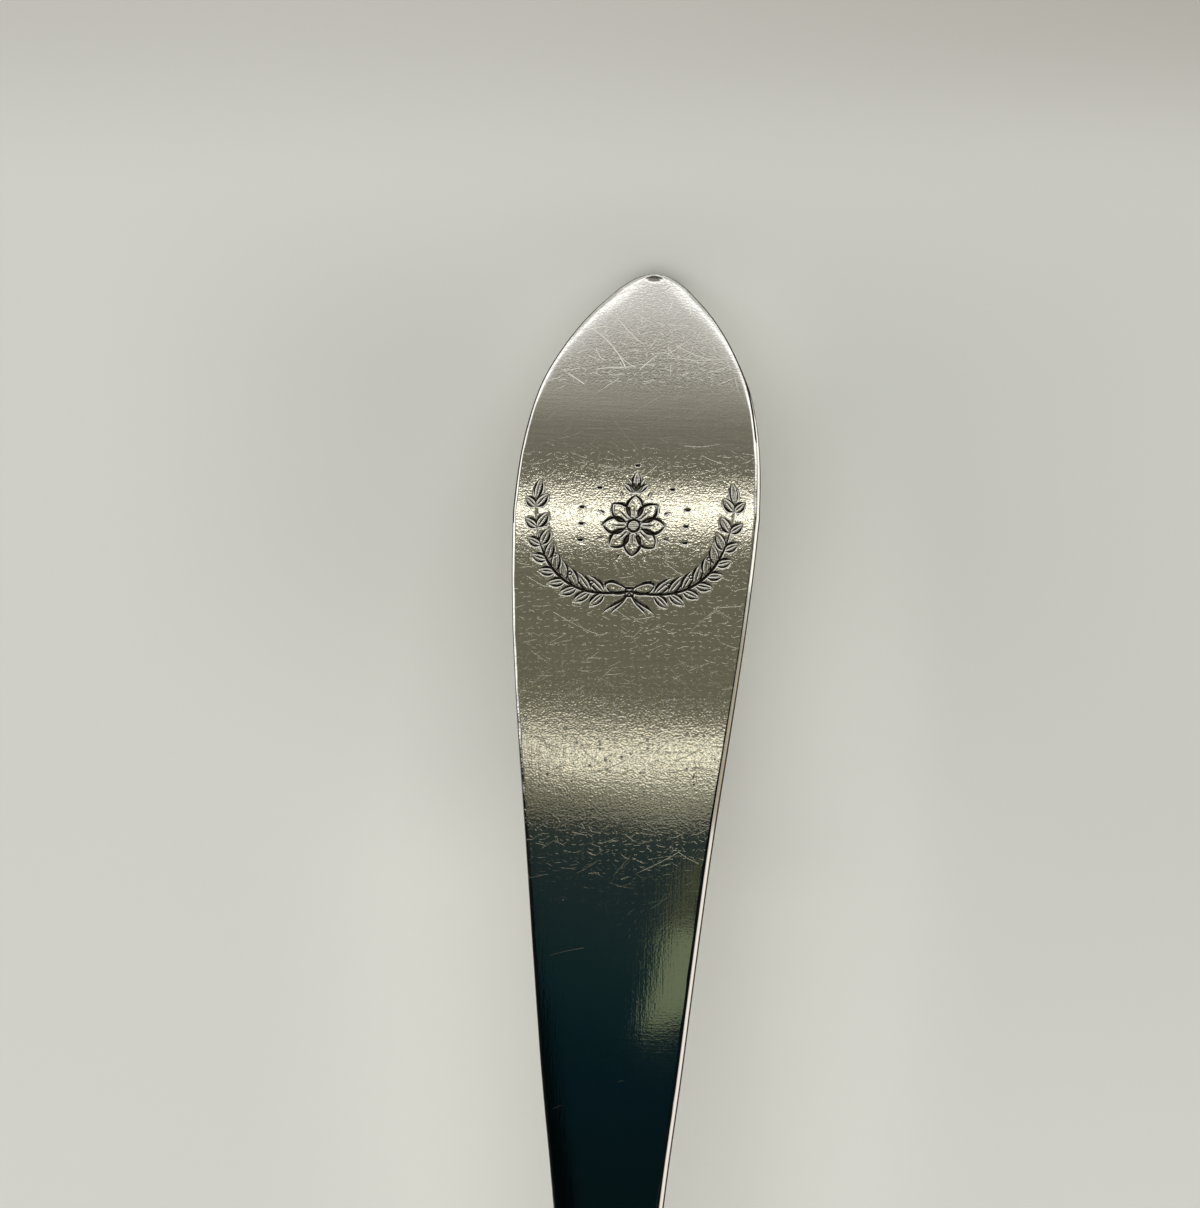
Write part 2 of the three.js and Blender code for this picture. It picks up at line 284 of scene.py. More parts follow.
# %% Lines of the ornament, right and up in mm from its middle
LINES = []
GRAVER_WIDTH_SHARE = 1.35
OPENING_SHARE, CLOSING_SHARE = 0.3, 0.35


def cut(points, width, ends=(0.25, 0.25), mirror=True):
    """One pushed cut: its points, its full width, and how thin it starts and ends."""
    points = np.array(points, float)
    t = np.linspace(0, 1, len(points))
    opening = np.minimum(1, ends[0] + (1 - ends[0]) * t / OPENING_SHARE)
    closing = np.minimum(1, ends[1] + (1 - ends[1]) * (1 - t) / CLOSING_SHARE)
    for side in (1, -1) if mirror else (1,):
        LINES.append((points * (side, 1), GRAVER_WIDTH_SHARE * width * (opening * closing)))


def arc(a, b, c, d, count=14):
    """A smooth line between a and d, pulled towards b and c."""
    t = np.linspace(0, 1, count)[:, None]
    a, b, c, d = (np.array(p, float) for p in (a, b, c, d))
    return (1 - t) ** 3 * a + 3 * t * (1 - t) ** 2 * b + 3 * t * t * (1 - t) * c + t ** 3 * d


def turned(points, angle, at):
    """Points turned by an angle and moved to a place."""
    c, s = math.cos(angle), math.sin(angle)
    return np.array(points) @ np.array([[c, s], [-s, c]]) + at


def leaf(at, angle, length, fat, side, width=0.2):
    """A pointed leaf: two edges, a rib, and shading cuts on one half."""
    for half, w in ((1, width), (-1, width * 0.8)):
        edge = arc((0, 0), (length * 0.25, half * fat), (length * 0.65, half * fat * 0.9), (length, 0))
        cut(turned(edge, angle, at), w, (0.3, 0.15))
    rib = arc((0, 0), (length * 0.3, 0.03), (length * 0.6, -0.03), (length * 0.86, 0), 8)
    cut(turned(rib, angle, at), width * 0.6)
    for k in range(1, 6):
        x = length * (0.12 + 0.13 * k)
        reach = fat * 0.62 * math.sin(math.pi * min(1, 0.12 + 0.13 * k + 0.04))
        cut(turned([(x, side * 0.06), (x + 0.16, side * reach)], angle, at), 0.085, (0.6, 0.2))


# %% The flower
FLOWER = np.array([0.0, 1.15])
for k in range(8):
    angle = math.pi / 2 + k * math.pi / 4
    for half in (1, -1):
        petal = arc((0.55, half * 0.05), (1.1, half * 0.95), (2.1, half * 0.8), (2.55, 0))
        cut(turned(petal, angle, FLOWER), 0.23, (0.35, 0.5), mirror=False)
    cut(turned([(0.8, 0), (1.3, 0.02), (1.85, 0)], angle, FLOWER), 0.13, (0.8, 0.1), mirror=False)
    for x in (1.25, 1.6, 1.95):
        cut(turned([(x, 0.08), (x + 0.2, 0.42)], angle, FLOWER), 0.08, (0.6, 0.2), mirror=False)
    cut(turned([(2.75, 0), (3.15, 0)], angle + math.pi / 8, FLOWER), 0.2, (0.7, 0.3), mirror=False)
ring = np.linspace(0, 2 * math.pi, 25)
circle = np.stack([np.cos(ring), np.sin(ring)], 1)
cut(FLOWER + 0.5 * circle, 0.2, (1, 1), mirror=False)
for k in range(4):
    y = -0.24 + 0.16 * k
    reach = math.sqrt(0.16 - y * y)
    cut(FLOWER + [(-reach, y), (reach, y)], 0.085, (0.7, 0.7), mirror=False)
print("cuts in the flower:", len(LINES))

# %% The two sprays and their tie
spray = arc((0.15, -4.35), (4.4, -5.2), (8.0, -3.4), (8.2, 3.2), 60)
cut(spray, 0.24, (0.8, 0.2))
cut(spray[6:52] + (-0.16, 0.13), 0.1, (0.3, 0.2))
for number, k in enumerate(range(9, 58, 6)):
    step = spray[k] - spray[k - 1]
    angle = math.atan2(step[1], step[0])
    size = 2.05 - 0.07 * number
    leaf(spray[k], angle - 0.72, size * 0.82, 0.46, -1)
    leaf(spray[k], angle + 0.78, size, 0.5, 1)
    if number % 2:
        berry = spray[k + 1] + 0.75 * np.array([math.cos(angle + 1.75), math.sin(angle + 1.75)])
        cut(berry + 0.14 * circle, 0.13, (1, 1))
leaf(spray[-1], math.radians(100), 1.9, 0.42, 1)

# The tie: two loops, two ends, their shades and the knot.
cut(arc((0, -4.4), (1.2, -3.2), (2.3, -3.5), (1.9, -4.1)), 0.22, (0.4, 0.5))
cut(arc((1.9, -4.1), (1.5, -4.7), (0.7, -4.6), (0, -4.4)), 0.2, (0.5, 0.4))
cut(arc((0, -4.4), (0.3, -5.2), (1.4, -5.3), (2.1, -6.2)), 0.24, (0.5, 0.2))
cut(arc((0, -4.4), (0.5, -5.6), (1.2, -5.6), (1.5, -6.4)), 0.17, (0.5, 0.2))
for k in range(7):
    on_loop = [(0.45 + 0.2 * k, -4.15 + 0.02 * k), (0.6 + 0.19 * k, -3.75 + 0.05 * k - 0.012 * k * k)]
    on_end = [(0.42 + 0.2 * k, -5.15 - 0.14 * k), (0.66 + 0.2 * k, -4.98 - 0.155 * k)]
    cut(on_loop, 0.08, (0.6, 0.3))
    cut(on_end, 0.08, (0.6, 0.3))
knot = [(-0.3, -4.1), (0.3, -4.1), (0.34, -4.75), (-0.34, -4.75), (-0.3, -4.1)]
cut(knot, 0.17, (1, 1), mirror=False)
print("cuts with the sprays:", len(LINES))

# %% The small bud above the flower, and the dots
leaf((0, 3.95), math.pi / 2, 1.9, 0.46, 1)
for side in (1, -1):
    for angle, size in ((38, 1.25), (62, 1.5)):
        edge = turned(arc((0, 0), (0.3, 0.3), (0.8, 0.32), (size, 0)), math.radians(angle), (0.08, 3.95))
        under = turned(arc((0, 0), (0.3, -0.2), (0.8, -0.22), (size, 0)), math.radians(angle), (0.08, 3.95))
        cut(edge * (side, 1), 0.18, (0.4, 0.2), mirror=False)
        cut(under * (side, 1), 0.14, (0.4, 0.2), mirror=False)
for x, y in ((4.3, 1.2), (4.3, -0.2), (4.35, 2.6), (3.0, 4.3), (0.0, 6.3)):
    cut([(x - 0.12, y), (x + 0.12, y)], 0.24, (0.8, 0.8))
print("engraved lines:", len(LINES), "in", sum(len(p) - 1 for p, w in LINES), "pieces")

# %% [markdown]
# ## The mesh
#
# The faces are laid out flat first, as rows along the spoon and columns across it, with rows and
# columns crowded where the metal turns sharply. A Subdivision Surface modifier would divide the
# plain parts as finely as the cuts, so only the faces under the ornament are divided again, until
# a cut is several of them wide. Only then is every point lifted to its height and bent.


# %% Rows and columns
def spaced(start, stop, step):
    """Even places from start to stop, about a step apart."""
    return np.linspace(start, stop, max(2, int(round((stop - start) / step)) + 1))


def crowded(count, reach):
    """Places from 0 to reach, close together near 0."""
    return reach * np.linspace(0, 1, count) ** 2


# Rows are crowded over the last few mm at both ends, where the outline turns across the spoon.
END_REACH = 4.0
rows = np.unique(np.round(np.concatenate([
    crowded(16, END_REACH), spaced(END_REACH, 56.0, 0.6), spaced(56.0, 68.0, 0.4),
    spaced(68.0, 102.0, 0.7), spaced(102.0, 130.0, 0.45), spaced(130.0, WHOLE - END_REACH, 0.42),
    WHOLE - crowded(20, END_REACH)]), 6))
width_at = half_width(rows)
# Columns close to an edge, in mm from it.
EDGE_FRONT = np.array([0, 0.01, 0.03, 0.055, 0.09, 0.15, 0.21, 0.25, 0.29, 0.34, 0.42, 0.6, 0.9, 1.3, 1.8])
EDGE_BACK = np.array([0, 0.03, 0.13, 0.28, 0.46, 0.8])


def columns(edge, middle):
    """Where the columns are in each row: some close to both edges and the rest even."""
    squeeze = np.minimum(1, width_at / (2.2 * edge[-1]))[:, None]
    left = -width_at[:, None] + edge[None] * squeeze
    inner = left[:, -1:]
    even = inner + (-2 * inner) * np.linspace(0, 1, middle + 2)[None, 1:-1]
    return np.concatenate([left, even, -left[:, ::-1]], axis=1)


front_columns, back_columns = columns(EDGE_FRONT, 30), columns(EDGE_BACK, 20)
print("rows:", len(rows), "columns:", front_columns.shape[1], back_columns.shape[1])

# %% The front face, flat, divided under the ornament
ORNAMENT_AT = WHOLE - 24.0
PATCH_ALONG, PATCH_ACROSS = 7.1, 9.2
PATCH_CUTS, FINE_CUTS = 3, 2

flat = bmesh.new()
grid = np.empty(front_columns.shape, int)
flat_points = []
for i, along in enumerate(rows):
    for j, across in enumerate(front_columns[i]):
        if width_at[i] < 1e-6 and j > 0:
            grid[i, j] = grid[i, 0]
            continue
        flat_points.append(flat.verts.new((along, across, 0)))
        grid[i, j] = len(flat_points) - 1
for i in range(len(rows) - 1):
    for j in range(grid.shape[1] - 1):
        ring4 = [grid[i, j], grid[i + 1, j], grid[i + 1, j + 1], grid[i, j + 1]]
        ring4 = [v for k, v in enumerate(ring4) if v != ring4[k - 1]]
        if len(set(ring4)) > 2:
            flat.faces.new([flat_points[v] for v in ring4])
flat.verts.index_update()

inside = {e for f in flat.faces for e in f.edges
          if all(abs(v.co.x - ORNAMENT_AT) < PATCH_ALONG and abs(v.co.y) < PATCH_ACROSS for v in f.verts)}
bmesh.ops.subdivide_edges(flat, edges=list(inside), cuts=PATCH_CUTS, use_grid_fill=True)
print("flat faces so far:", len(flat.faces))


# %% How far each place is from a cut
FAR = 9.0


def line_distance(right, up, reach=0.3):
    """How far outside the nearest cut each place is, in mm; less than 0 inside one."""
    order = np.argsort(right)
    px, py = right[order], up[order]
    best = np.full(len(px), FAR)
    for points, widths in LINES:
        for (x0, y0), (x1, y1), w0, w1 in zip(points[:-1], points[1:], widths[:-1], widths[1:]):
            far = max(w0, w1) / 2 + reach
            a, b = np.searchsorted(px, (min(x0, x1) - far, max(x0, x1) + far))
            sx, sy = px[a:b] - x0, py[a:b] - y0
            length2 = max((x1 - x0) ** 2 + (y1 - y0) ** 2, 1e-9)
            t = np.clip((sx * (x1 - x0) + sy * (y1 - y0)) / length2, 0, 1)
            half = (w0 + (w1 - w0) * t) / 2
            away = np.hypot(sx - t * (x1 - x0), sy - t * (y1 - y0)) - half
            best[a:b] = np.minimum(best[a:b], away)
    return best[np.argsort(order)]


# %% Finer faces where a cut passes
NEAR_CUT = 0.02
centres = np.array([f.calc_center_median()[:2] for f in flat.faces])
away = line_distance(-centres[:, 1], centres[:, 0] - ORNAMENT_AT)
close = {e for f, d in zip(flat.faces, away) if d < NEAR_CUT and len(f.verts) == 4 for e in f.edges}
bmesh.ops.subdivide_edges(flat, edges=list(close), cuts=FINE_CUTS, use_grid_fill=True)
flat.verts.index_update()
flat_co = np.array([v.co[:2] for v in flat.verts])
front_faces = [[v.index for v in f.verts] for f in flat.faces]
flat.free()
print("front face:", len(flat_co), "points", len(front_faces), "faces")

# %% Depth of the cuts at every point of the front
GROOVE_SLOPE = 0.75
away = line_distance(-flat_co[:, 1], flat_co[:, 0] - ORNAMENT_AT)
groove = GROOVE_SLOPE * np.maximum(0, -away)
print("deepest cut in mm:", round(float(groove.max()), 3), "points cut:", int((groove > 0).sum()))

# %% [markdown]
# ## Wear
#
# The face of a spoon isn't a machine's plane. Hammering leaves faint waves, the file leaves a
# slanting stroke along the front edge, and use leaves a dent, some nicks and a rubbed tip. Relief in
# the finish could show most of them, but it leaves the outline sharp, and the edge is where the eye
# finds them. So each is a small sum in mm that is taken off the face.

# %% The waves, the leaning edge and the bevel
THUMB_FROM, THUMB_TO, THUMB_SHARE = 20.0, 42.0, 0.45
WIDER_SHARE, FLATTER_SHARE = 0.7, 0.68


def waves(along, across):
    """Hammering and two centuries of rubbing leave the face faintly wavy, in mm."""
    return (0.006 * np.sin(along / 3.1 + 0.4 * np.sin(across / 2.7)) * np.cos(across / 4.3 + 0.8)
            + 0.004 * np.sin(along / 1.55 + 1.3) * np.sin(across / 2.9 + 0.5)
            + 0.003 * np.sin(along / 5.3 - across / 3.7))


def lean(along, across):
    """The filed edge leans out towards the back, most along the straight part, so the front is narrower."""
    more = 0.5 * EDGE_LEAN * soft_step((WHOLE - 30 - along) / 15)
    return across * (1 - (EDGE_LEAN + more) * on_stem(along) / np.maximum(half_width(along), 1))


def bevel(along, across, near):
    """The file's narrow slanting stroke along the front edge, uneven from wear and wider at the tip."""
    from_end = WHOLE - along
    at_tip = soft_step((15 - from_end) / 8)
    uneven = 0.07 * np.sin(along * 1.3) + 0.05 * np.sin(along * 2.9 + 1.2)
    width = BEVEL_WIDTH * (1 + uneven + WIDER_SHARE * at_tip)
    # A thumb has rubbed it narrower on the right, under the ornament.
    thumb = soft_step((from_end - THUMB_FROM) / 6) * (1 - soft_step((from_end - THUMB_TO) / 12))
    width *= 1 - THUMB_SHARE * thumb * (across < 0)
    return BEVEL_SLOPE * (1 - FLATTER_SHARE * at_tip) * np.maximum(0, width - near) * on_stem(along)


front_along, front_across = flat_co.T
near_edge = edge_distance(half_width, front_along, front_across)
stroke = bevel(front_along, front_across, near_edge)
print("deepest place of the bevel in mm:", round(float(stroke.max()), 3))

# %% The dent, the nicks and the rubbed tip
# A worn dent at the very tip, where the spoon has knocked against things: middle from the tip, half
# length, half width and depth.
DENT_AT, DENT_ALONG, DENT_ACROSS, DENT_DEPTH = 0.52, 0.27, 0.85, 0.12
# Nicks in the edges: from the tip, side (1 is left) and size.
NICKS = [(51.5, 1, 0.1), (50.9, -1, 0.17), (69.3, -1, 0.1)]
RUBBED_DEPTH, RUBBED_IN = 0.11, 1.5

from_tip = WHOLE - front_along
dent = np.maximum(0, 1 - ((from_tip - DENT_AT) / DENT_ALONG) ** 2 - (front_across / DENT_ACROSS) ** 2)
nicks = 0
for nick_at, side, size in NICKS:
    beside = (nick_at - from_tip) / size
    nicks = nicks + size * np.exp(-beside ** 2 - (near_edge / size) ** 2) * (side * front_across > 0)
# The face falls away softly to the edges near the tip, rubbed down by hands and drawers.
rubbed = np.maximum(0, 1 - near_edge / RUBBED_IN) ** 2
rubbed *= RUBBED_DEPTH * soft_step((from_tip - 0.6) / 1.6) * (1 - soft_step((from_tip - 4.5) / 5.0))
worn_off = DENT_DEPTH * dent + rubbed + nicks + stroke
front_height = front(front_along, front_across) + waves(front_along, front_across) - groove - worn_off
front_xyz = bend(front_along, lean(front_along, front_across), front_height)
print("most worn off the front in mm:", round(float(worn_off.max()), 3))

# %% [markdown]
# ## The back and the filed edge
#
# The back gets its own grid over the same rows, and rings of points close the edge between front
# and back. A Solidify modifier would give the edge one width everywhere, but here the bowl's lip is
# thin and the stem is thick. Each ring also notes how dark it is painted: a little tarnish low on the
# edge and in its corners, where no cloth reaches, and painted shade that draws thin dark lines along
# the edge.

# %% The back face
BACK_WAVES_SHARE, BACK_WAVES_SHIFT = 0.7, 40.0

back_grid = np.empty(back_columns.shape, int)
back_flat = []
for i, along in enumerate(rows):
    for j, across in enumerate(back_columns[i]):
        if width_at[i] < 1e-6 and j > 0:
            back_grid[i, j] = back_grid[i, 0]
            continue
        back_flat.append((along, across))
        back_grid[i, j] = len(back_flat) - 1
back_flat = np.array(back_flat)
back_along, back_across = back_flat.T
back_height = back(back_along, back_across)
back_height += BACK_WAVES_SHARE * waves(back_along + BACK_WAVES_SHIFT, back_across)
back_xyz = bend(back_along, back_across, back_height)
back_grid = back_grid + len(front_xyz)
print("back face:", len(back_xyz), "points")

# %% The rings of the edge
# Rings down the filed edge, each with how dark it is painted: bright in the middle, with painted shade
# and a little tarnish low on it, and a thin painted dark line at both its corners.
EDGE_TARNISH_AND_SHADE = 0.3
RINGS = [(0.06, 0), (0.42, 0), (0.54, 0.028), (0.62, 0.028), (0.70, EDGE_TARNISH_AND_SHADE)]
left, right = grid[:, 0], grid[:, -1]
behind = [back_grid[:, k] - len(front_xyz) for k in (0, -1)]
ring_xyz = np.concatenate([(1 - t) * front_xyz[f] + t * back_xyz[b]
                           for t, _ in RINGS for f, b in ((left, behind[0]), (right, behind[1]))])
ring_flat = np.concatenate([flat_co[f] for _ in RINGS for f in (left, right)])
# Near the tip the whole edge is painted dark: painted shade with a little tarnish.
outer = EDGE_TARNISH_AND_SHADE * soft_step((rows - WHOLE + 14) / 5)
ring_dark = np.concatenate([np.maximum(dark, outer) for _, dark in RINGS for _ in (0, 1)])
ring_at = (len(front_xyz) + len(back_xyz) + np.arange(len(ring_xyz))).reshape(len(RINGS), 2, -1)
xyz = np.concatenate([front_xyz, back_xyz, ring_xyz])
# On the front a narrow painted dark line, painted shade with a little tarnish, follows the edge, wider
# at the wide end and faint on the right.
front_dark = EDGE_TARNISH_AND_SHADE * (near_edge < 0.06 + 0.035 * soft_step((26 - from_tip) / 4))
front_dark[(front_across < 0) & (from_tip > 15)] *= 0.1
back_dark = np.zeros(len(back_xyz))
back_dark[np.concatenate(behind)] = EDGE_TARNISH_AND_SHADE
print("rings on the edge:", len(RINGS), "with", len(ring_xyz), "points")


# %% The faces of the back and the edge
def ring_of(*corners):
    """A face's corners without doubles, or nothing if fewer than three are left."""
    kept = [int(v) for k, v in enumerate(corners) if v != corners[k - 1]]
    return kept if len(set(kept)) > 2 else None


faces = list(front_faces)
for i in range(len(rows) - 1):
    for j in range(back_grid.shape[1] - 1):
        here, there = back_grid[i, j:j + 2], back_grid[i + 1, j:j + 2]
        faces.append(ring_of(here[0], here[1], there[1], there[0]))
    for side, (front_edge, back_edge) in enumerate(((left, back_grid[:, 0]), (right, back_grid[:, -1]))):
        chain = [front_edge, *ring_at[:, side], back_edge]
        for upper, lower in zip(chain[:-1], chain[1:]):
            corners = [lower[i], lower[i + 1], upper[i + 1], upper[i]]
            faces.append(ring_of(*(corners if side == 0 else corners[::-1])))
faces = [f for f in faces if f]
print("faces:", len(faces))

# %% To the table: worn flat where it rests, and centred like the CAD part
xyz[:, 2] -= xyz[:, 2].min() + WORN
xyz[:, 2] = np.maximum(xyz[:, 2], 0)
xyz[:, 0] -= (xyz[:, 0].min() + xyz[:, 0].max()) / 2

mesh = bpy.data.meshes.new("spoon")
mesh.from_pydata((xyz * MM).tolist(), [], faces)
mesh.validate()
mesh.update()
mesh.shade_smooth()
spoon = bpy.data.objects.new("dessert_spoon", mesh)
bpy.context.scene.collection.objects.link(spoon)

# %% [markdown]
# ## What the finish has to know
#
# The finish is drawn in millimetres on the flat spoon, so that a scratch keeps its length where the
# handle bends. An unwrapped UV map could do that, but the flat places are known already. They are
# kept on the mesh as an attribute, and the depth of the cuts together with the edges' painted shade
# and tarnish as a second one.

# %% Where each point lies on the flat spoon, how deep it is cut, and how dark its edge is painted
# The back's places are kept this far on, so that its scratches aren't the front's.
BACK_AT = 400.0
flat_all = np.concatenate([flat_co, back_flat + (BACK_AT, 0), ring_flat])
place = mesh.attributes.new("flat_mm", "FLOAT_VECTOR", "POINT")
place.data.foreach_set("vector", np.column_stack([flat_all, 0 * flat_all[:, 0]]).astype(np.float32).ravel())
deep = mesh.attributes.new("cut_and_edge_shade", "FLOAT", "POINT")
cut_darks = np.concatenate([np.maximum(groove, 0.045 * (dent > 0.1)), 0 * back_dark, 0 * ring_dark])
# The dark lines along the edges are painted shade with a little tarnish.
edge_darks = np.concatenate([front_dark, back_dark, ring_dark]) * on_stem(flat_all[:, 0] % BACK_AT)
darks = np.maximum(cut_darks, edge_darks)
deep.data.foreach_set("value", darks.astype(np.float32))
triangles = sum(len(p.vertices) - 2 for p in mesh.polygons)
print("spoon mesh:", len(mesh.vertices), "points", triangles, "triangles")

# %% [markdown]
# ## The finish
#
# Silver takes a soft bright polish and then a lifetime of washing. Up close its face is full of
# hairlines in every direction, a few longer scratches, and fine lines across from the polishing
# cloth. They are too small for the mesh, so they are relief in the finish. Noise alone looks like
# brushed steel, because it has no single lines. So each hairline is a short bowed dent placed at
# random in a cell of a grid, and grids of several sizes lie over each other.


# %% A small helper for node chains
class Nodes:
    """Writes shader arithmetic as calls, so that a formula can be read as one."""

    def __init__(self, tree):
        self.tree = tree

    def add(self, kind, *inputs, **settings):
        node = self.tree.nodes.new(kind)
        for name, value in settings.items():
            setattr(node, name, value)
        for i, value in enumerate(inputs):
            self.feed(node.inputs[i], value)
        return node

    def feed(self, socket, value):
        if value is None:
            return
        if isinstance(value, bpy.types.NodeSocket):
            self.tree.links.new(value, socket)
        else:
            socket.default_value = value

    def math(self, operation, *inputs, clamp=False):
        return self.add("ShaderNodeMath", *inputs, operation=operation, use_clamp=clamp).outputs[0]

    def vector(self, operation, *inputs):
        return self.add("ShaderNodeVectorMath", *inputs, operation=operation).outputs[0]

    def ramp(self, value, low, high, to_low=0.0, to_high=1.0):
        return self.add("ShaderNodeMapRange", value, low, high, to_low, to_high,
                        interpolation_type="SMOOTHSTEP").outputs[0]

    def noise(self, vector, scale, detail=2.0, rough=0.5):
        node = self.add("ShaderNodeTexNoise")
        self.feed(node.inputs["Vector"], vector)
        node.inputs["Scale"].default_value = scale
        node.inputs["Detail"].default_value = detail
        node.inputs["Roughness"].default_value = rough
        return node.outputs["Fac"]

    def blend(self, share, first, second):
        """A mix of two colours."""
        mix = self.add("ShaderNodeMix", data_type="RGBA")
        self.feed(mix.inputs["Factor"], share)
        self.feed(mix.inputs[6], first)
        self.feed(mix.inputs[7], second)
        return mix.outputs[2]


# %% One grid of hairlines
GRID_TURN = 1.7


def hairlines(n, x, y, cell, half, chance, spread, seed):
    """1 on a hairline, 0 off it: one bowed line at random in each cell of a turned grid."""
    turn = GRID_TURN * seed
    c, s = math.cos(turn) / cell, math.sin(turn) / cell
    u = n.math("MULTIPLY_ADD", x, c, n.math("MULTIPLY_ADD", y, s, seed))
    v = n.math("MULTIPLY_ADD", y, c, n.math("MULTIPLY_ADD", x, -s, 3.3 * seed))
    number = n.math("MULTIPLY_ADD", n.math("FLOOR", v), 91.77, seed)
    number = n.math("MULTIPLY_ADD", n.math("FLOOR", u), 17.31, number)
    white = n.add("ShaderNodeTexWhiteNoise", noise_dimensions="1D")
    n.feed(white.inputs["W"], number)
    red, green, blue = n.add("ShaderNodeSeparateColor", white.outputs["Color"]).outputs
    # The line's turn is counted from straight across the spoon, so the grid's own turn is undone.
    angle = n.math("MULTIPLY_ADD", red, spread, math.pi / 2 - spread / 2 - turn)
    cos, sin = n.math("COSINE", angle), n.math("SINE", angle)
    u, v = (n.math("SUBTRACT", n.math("FRACT", k), 0.5) for k in (u, v))
    along = n.math("ADD", n.math("MULTIPLY", u, cos), n.math("MULTIPLY", v, sin))
    away = n.math("SUBTRACT", n.math("MULTIPLY", v, cos), n.math("MULTIPLY", u, sin))
    away = n.math("ADD", away, n.math("MULTIPLY_ADD", green, 0.45, -0.225))
    bow = n.math("MULTIPLY", n.math("MULTIPLY", along, along), n.math("MULTIPLY_ADD", blue, 0.9, -0.45))
    line = n.ramp(n.math("ABSOLUTE", n.math("ADD", away, bow)), half / cell, half / cell * 0.15)
    reach = n.math("MULTIPLY_ADD", blue, 0.26, 0.16)
    taper = n.ramp(n.math("ABSOLUTE", along), reach, n.math("MULTIPLY", reach, 0.5))
    chosen = n.math("LESS_THAN", white.outputs["Value"], chance)
    return n.math("MULTIPLY", n.math("MULTIPLY", line, taper), chosen)


# Cell size, half-width in mm, chance, how far from straight across (radians), depth.
SCRATCHES = [(8.2, 0.032, 0.8, 3.1, 0.6), (5.3, 0.034, 0.9, 2.4, 0.7), (3.7, 0.03, 0.95, 1.6, 0.55),
             (2.6, 0.026, 0.95, 1.1, 0.45), (1.9, 0.028, 0.95, 3.1, 0.45), (1.35, 0.024, 0.95, 1.1, 0.36),
             (0.95, 0.022, 1.0, 3.1, 0.34), (0.7, 0.02, 1.0, 1.4, 0.3), (0.52, 0.02, 1.0, 3.1, 0.28)]


# %% One long scratch or knock
def one_scratch(n, x, y, middle, turn, length, bow, half):
    """1 on one bowed line, given its middle from the handle's tip and to the right, in mm."""
    angle = math.pi / 2 + turn
    c, s = math.cos(angle), math.sin(angle)
    along_mid, across_mid = WHOLE - middle[0], -middle[1]
    u = n.math("MULTIPLY_ADD", x, c, n.math("MULTIPLY_ADD", y, s, -c * along_mid - s * across_mid))
    v = n.math("MULTIPLY_ADD", y, c, n.math("MULTIPLY_ADD", x, -s, s * along_mid - c * across_mid))
    away = n.math("MULTIPLY_ADD", n.math("MULTIPLY", u, u), -bow, v)
    line = n.ramp(n.math("ABSOLUTE", away), half, half * 0.1)
    return n.math("MULTIPLY", line, n.ramp(n.math("ABSOLUTE", u), length / 2, length * 0.3))


# Middle (from the tip, to the right), turn from straight across, length, bow, half-width, depth.
LONG_SCRATCHES = [((7.0, -3.0), -0.85, 5.6, 0.06, 0.046, 4.6), ((9.0, -2.6), 0.08, 3.5, 0.02, 0.042, 3.2),
                  ((8.5, 0.1), 0.8, 2.0, 0.04, 0.045, 3.8), ((10.1, -5.7), -0.58, 1.9, 0.0, 0.05, 3.6),
                  ((3.6, -2.6), 0.42, 4.4, -0.04, 0.034, 2.4), ((5.4, -4.6), 0.28, 2.2, 0.02, 0.045, 3.4),
                  ((38.2, 3.4), -0.6, 1.7, 0.0, 0.05, 2.4), ((35.2, -1.6), 0.8, 2.0, 0.04, 0.034, 1.3),
                  ((46.4, -4.3), 1.07, 3.7, 0.0, 0.036, 1.9), ((44.8, -5.2), -0.27, 3.6, 0.0, 0.03, 1.2),
                  ((57.4, -3.8), 0.25, 4.0, 0.03, 0.03, 0.6), ((48.0, -3.1), -0.18, 1.3, 0.0, 0.055, 2.2),
                  ((48.9, -1.7), -0.3, 0.8, 0.0, 0.05, 2.0), ((51.1, -1.8), 0.1, 1.0, 0.0, 0.045, 1.5),
                  ((51.4, 0.8), 0.4, 0.8, 0.0, 0.045, 1.5), ((47.5, -6.3), 0.5, 0.8, 0.0, 0.045, 1.8),
                  ((49.6, 4.0), 0.15, 3.2, 0.05, 0.03, 1.0), ((67.6, 1.0), 0.3, 0.5, 0.0, 0.05, 0.9),
                  ((69.9, -4.2), 0.4, 1.0, 0.0, 0.04, 0.7)]
print("grids of hairlines:", len(SCRATCHES), "long scratches:", len(LONG_SCRATCHES))

# %% Where the wear changes along the front, each from one place to another
KNOCKED_TIP = (WHOLE - 12.5, WHOLE - 8.5)
STILL_STARTS, STILL_ENDS = (WHOLE - 17.5, WHOLE - 14.5), (WHOLE - 9, WHOLE - 11.5)
GROUND_STARTS, DARK_PART_ENDS = (WHOLE - 31, WHOLE - 27), (WHOLE - 62, WHOLE - 38)
TORN_STARTS, STREAKS_START = (WHOLE - 50, WHOLE - 14), (WHOLE - 50, WHOLE - 44)
GRAIN_STARTS, DENTS_START = (WHOLE - 50, WHOLE - 41), (WHOLE - 53, WHOLE - 41)
print("the tip is knocked from", round(WHOLE - KNOCKED_TIP[1], 1), "mm to its end")

# %% Pits, larger and more of them in the second band
SECOND_BAND_AT, BAND_FADE, KNOCKED = WHOLE - 40.5, (5.0, 2.5), 2.4


